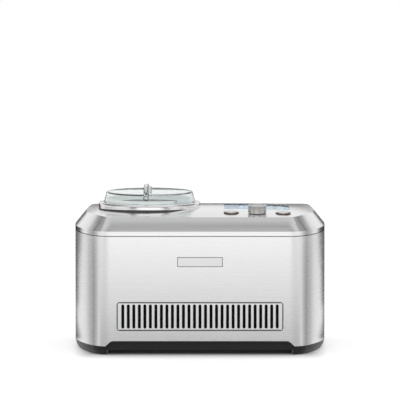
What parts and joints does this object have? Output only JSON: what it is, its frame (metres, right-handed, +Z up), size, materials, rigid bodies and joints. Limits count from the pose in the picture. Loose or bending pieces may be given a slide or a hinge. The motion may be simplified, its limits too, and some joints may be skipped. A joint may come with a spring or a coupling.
{
  "type": "ice cream maker",
  "caption": "Countertop ice cream maker with a brushed steel housing, slotted front vent, clear lidded churn bowl and a dial panel; motor-driven paddle and cooling unit inside.",
  "frame": {"origin": "middle of the footprint, on the surface the maker stands on", "axes": "+X to the right seen from the front, +Y to the back, +Z up"},
  "size_m": [0.4, 0.28, 0.26],
  "materials": {
    "brushed_steel": "horizontally brushed",
    "vent_steel": "brushed, with punched slots",
    "badge_metal": "satin blank plate",
    "base_plastic": "fine grained black",
    "inner_plastic": "moulded black",
    "rubber": "matte",
    "polished_metal": "polished",
    "bowl_aluminium": "satin",
    "foam": "pale rigid foam",
    "paddle_plastic": "moulded white",
    "clear_lid": "clear plastic with a faint green-blue tint",
    "pin_steel": "turned",
    "gear_plastic": "moulded nylon",
    "bush_bronze": "sintered bronze",
    "motor_steel": "zinc plated",
    "compressor_paint": "black enamel",
    "copper": "drawn copper tube",
    "dial_metal": "satin with a dished top",
    "button_metal": "satin",
    "bezel_plastic": "dark brown",
    "electronics": "moulded",
    "board_green": "solder resist",
    "display_glass": "clear window",
    "display": "pale blue backlit display"
  },
  "bodies": {
    "chassis": {"outer_shell": "brushed_steel", "top_cover": "brushed_steel", "front_grille": "vent_steel", "rear_grille": "vent_steel", "badge_plate": "badge_metal", "base_tray": "base_plastic", "cord_gland": "base_plastic", "gear_case_lower": "inner_plastic", "gear_case_upper": "inner_plastic", "fan_shroud": "inner_plastic", "board_bracket": "inner_plastic", "rubber_feet": "rubber", "collar_gasket": "rubber", "shaft_seal": "rubber", "compressor_grommets": "rubber", "bowl_collar": "polished_metal", "cooling_well": "bowl_aluminium", "evaporator_jacket": "bowl_aluminium", "condenser_fins": "bowl_aluminium", "foam_insulation": "foam", "base_screws": "pin_steel", "motor_screws": "pin_steel", "compressor_bolts": "pin_steel", "lower_bush": "bush_bronze", "upper_bush": "bush_bronze", "drive_motor": "motor_steel", "fan_motor": "motor_steel", "compressor": "compressor_paint", "condenser_tubes": "copper", "filter_drier": "copper", "capillary_tube": "copper", "discharge_line": "copper", "suction_line": "copper", "button_bezels": "bezel_plastic", "dial_encoder": "electronics", "button_switches": "electronics", "control_board": "board_green", "power_board": "board_green", "lcd_window": "display_glass", "lcd_module": "display"},
    "bowl": {"bowl": "bowl_aluminium", "bowl_post": "bowl_aluminium"},
    "paddle": {"paddle": "paddle_plastic"},
    "lid": {"lid": "clear_lid", "flap_hinge_pin": "pin_steel"},
    "lid_flap": {"lid_flap": "clear_lid"},
    "drive_train": {"drive_gear": "gear_plastic", "output_shaft": "pin_steel"},
    "pinion": {"motor_pinion": "gear_plastic", "motor_shaft": "pin_steel"},
    "fan": {"fan_blade": "inner_plastic"},
    "dial": {"dial_knob": "dial_metal"},
    "power_button": {"power_button": "button_metal"},
    "start_button": {"start_button": "button_metal"}
  },
  "joints": [
    {"name": "bowl_lift", "type": "slide", "parent": "chassis", "child": "bowl", "axis": [0, 0, 1], "range_m": [0, 0.15]},
    {"name": "paddle_spin", "type": "hinge", "parent": "bowl", "child": "paddle", "pos_m": [-0.081, 0, 0.206], "axis": [0, 0, 1], "continuous": true},
    {"name": "lid_lift", "type": "slide", "parent": "bowl", "child": "lid", "axis": [0, 0, 1], "range_m": [0, 0.12]},
    {"name": "flap_hinge", "type": "hinge", "parent": "lid", "child": "lid_flap", "pos_m": [-0.0791, 0, 0.2508], "axis": [0, -1, 0], "range_deg": [0, 90]},
    {"name": "drive_spin", "type": "hinge", "parent": "chassis", "child": "drive_train", "pos_m": [-0.081, 0, 0.065], "axis": [0, 0, 1], "continuous": true},
    {"name": "pinion_spin", "type": "hinge", "parent": "chassis", "child": "pinion", "pos_m": [-0.021, 0, 0.065], "axis": [0, 0, 1], "continuous": true},
    {"name": "fan_spin", "type": "hinge", "parent": "chassis", "child": "fan", "pos_m": [0.103, -0.068, 0.068], "axis": [0, 1, 0], "continuous": true},
    {"name": "dial_turn", "type": "hinge", "parent": "chassis", "child": "dial", "pos_m": [0.091, -0.088, 0.22163], "axis": [0.0105, -0.0877, 0.9961], "continuous": true},
    {"name": "power_press", "type": "slide", "parent": "chassis", "child": "power_button", "axis": [-0.0105, 0.0877, -0.9961], "range_m": [0, 0.0015], "stiffness_N_per_m": 900},
    {"name": "start_press", "type": "slide", "parent": "chassis", "child": "start_button", "axis": [-0.0105, 0.0877, -0.9961], "range_m": [0, 0.0015], "stiffness_N_per_m": 900}
  ],
  "couplings": [
    {"joint": "paddle_spin", "follows": "drive_spin", "ratio": 1},
    {"joint": "pinion_spin", "follows": "drive_spin", "ratio": -3}
  ]
}
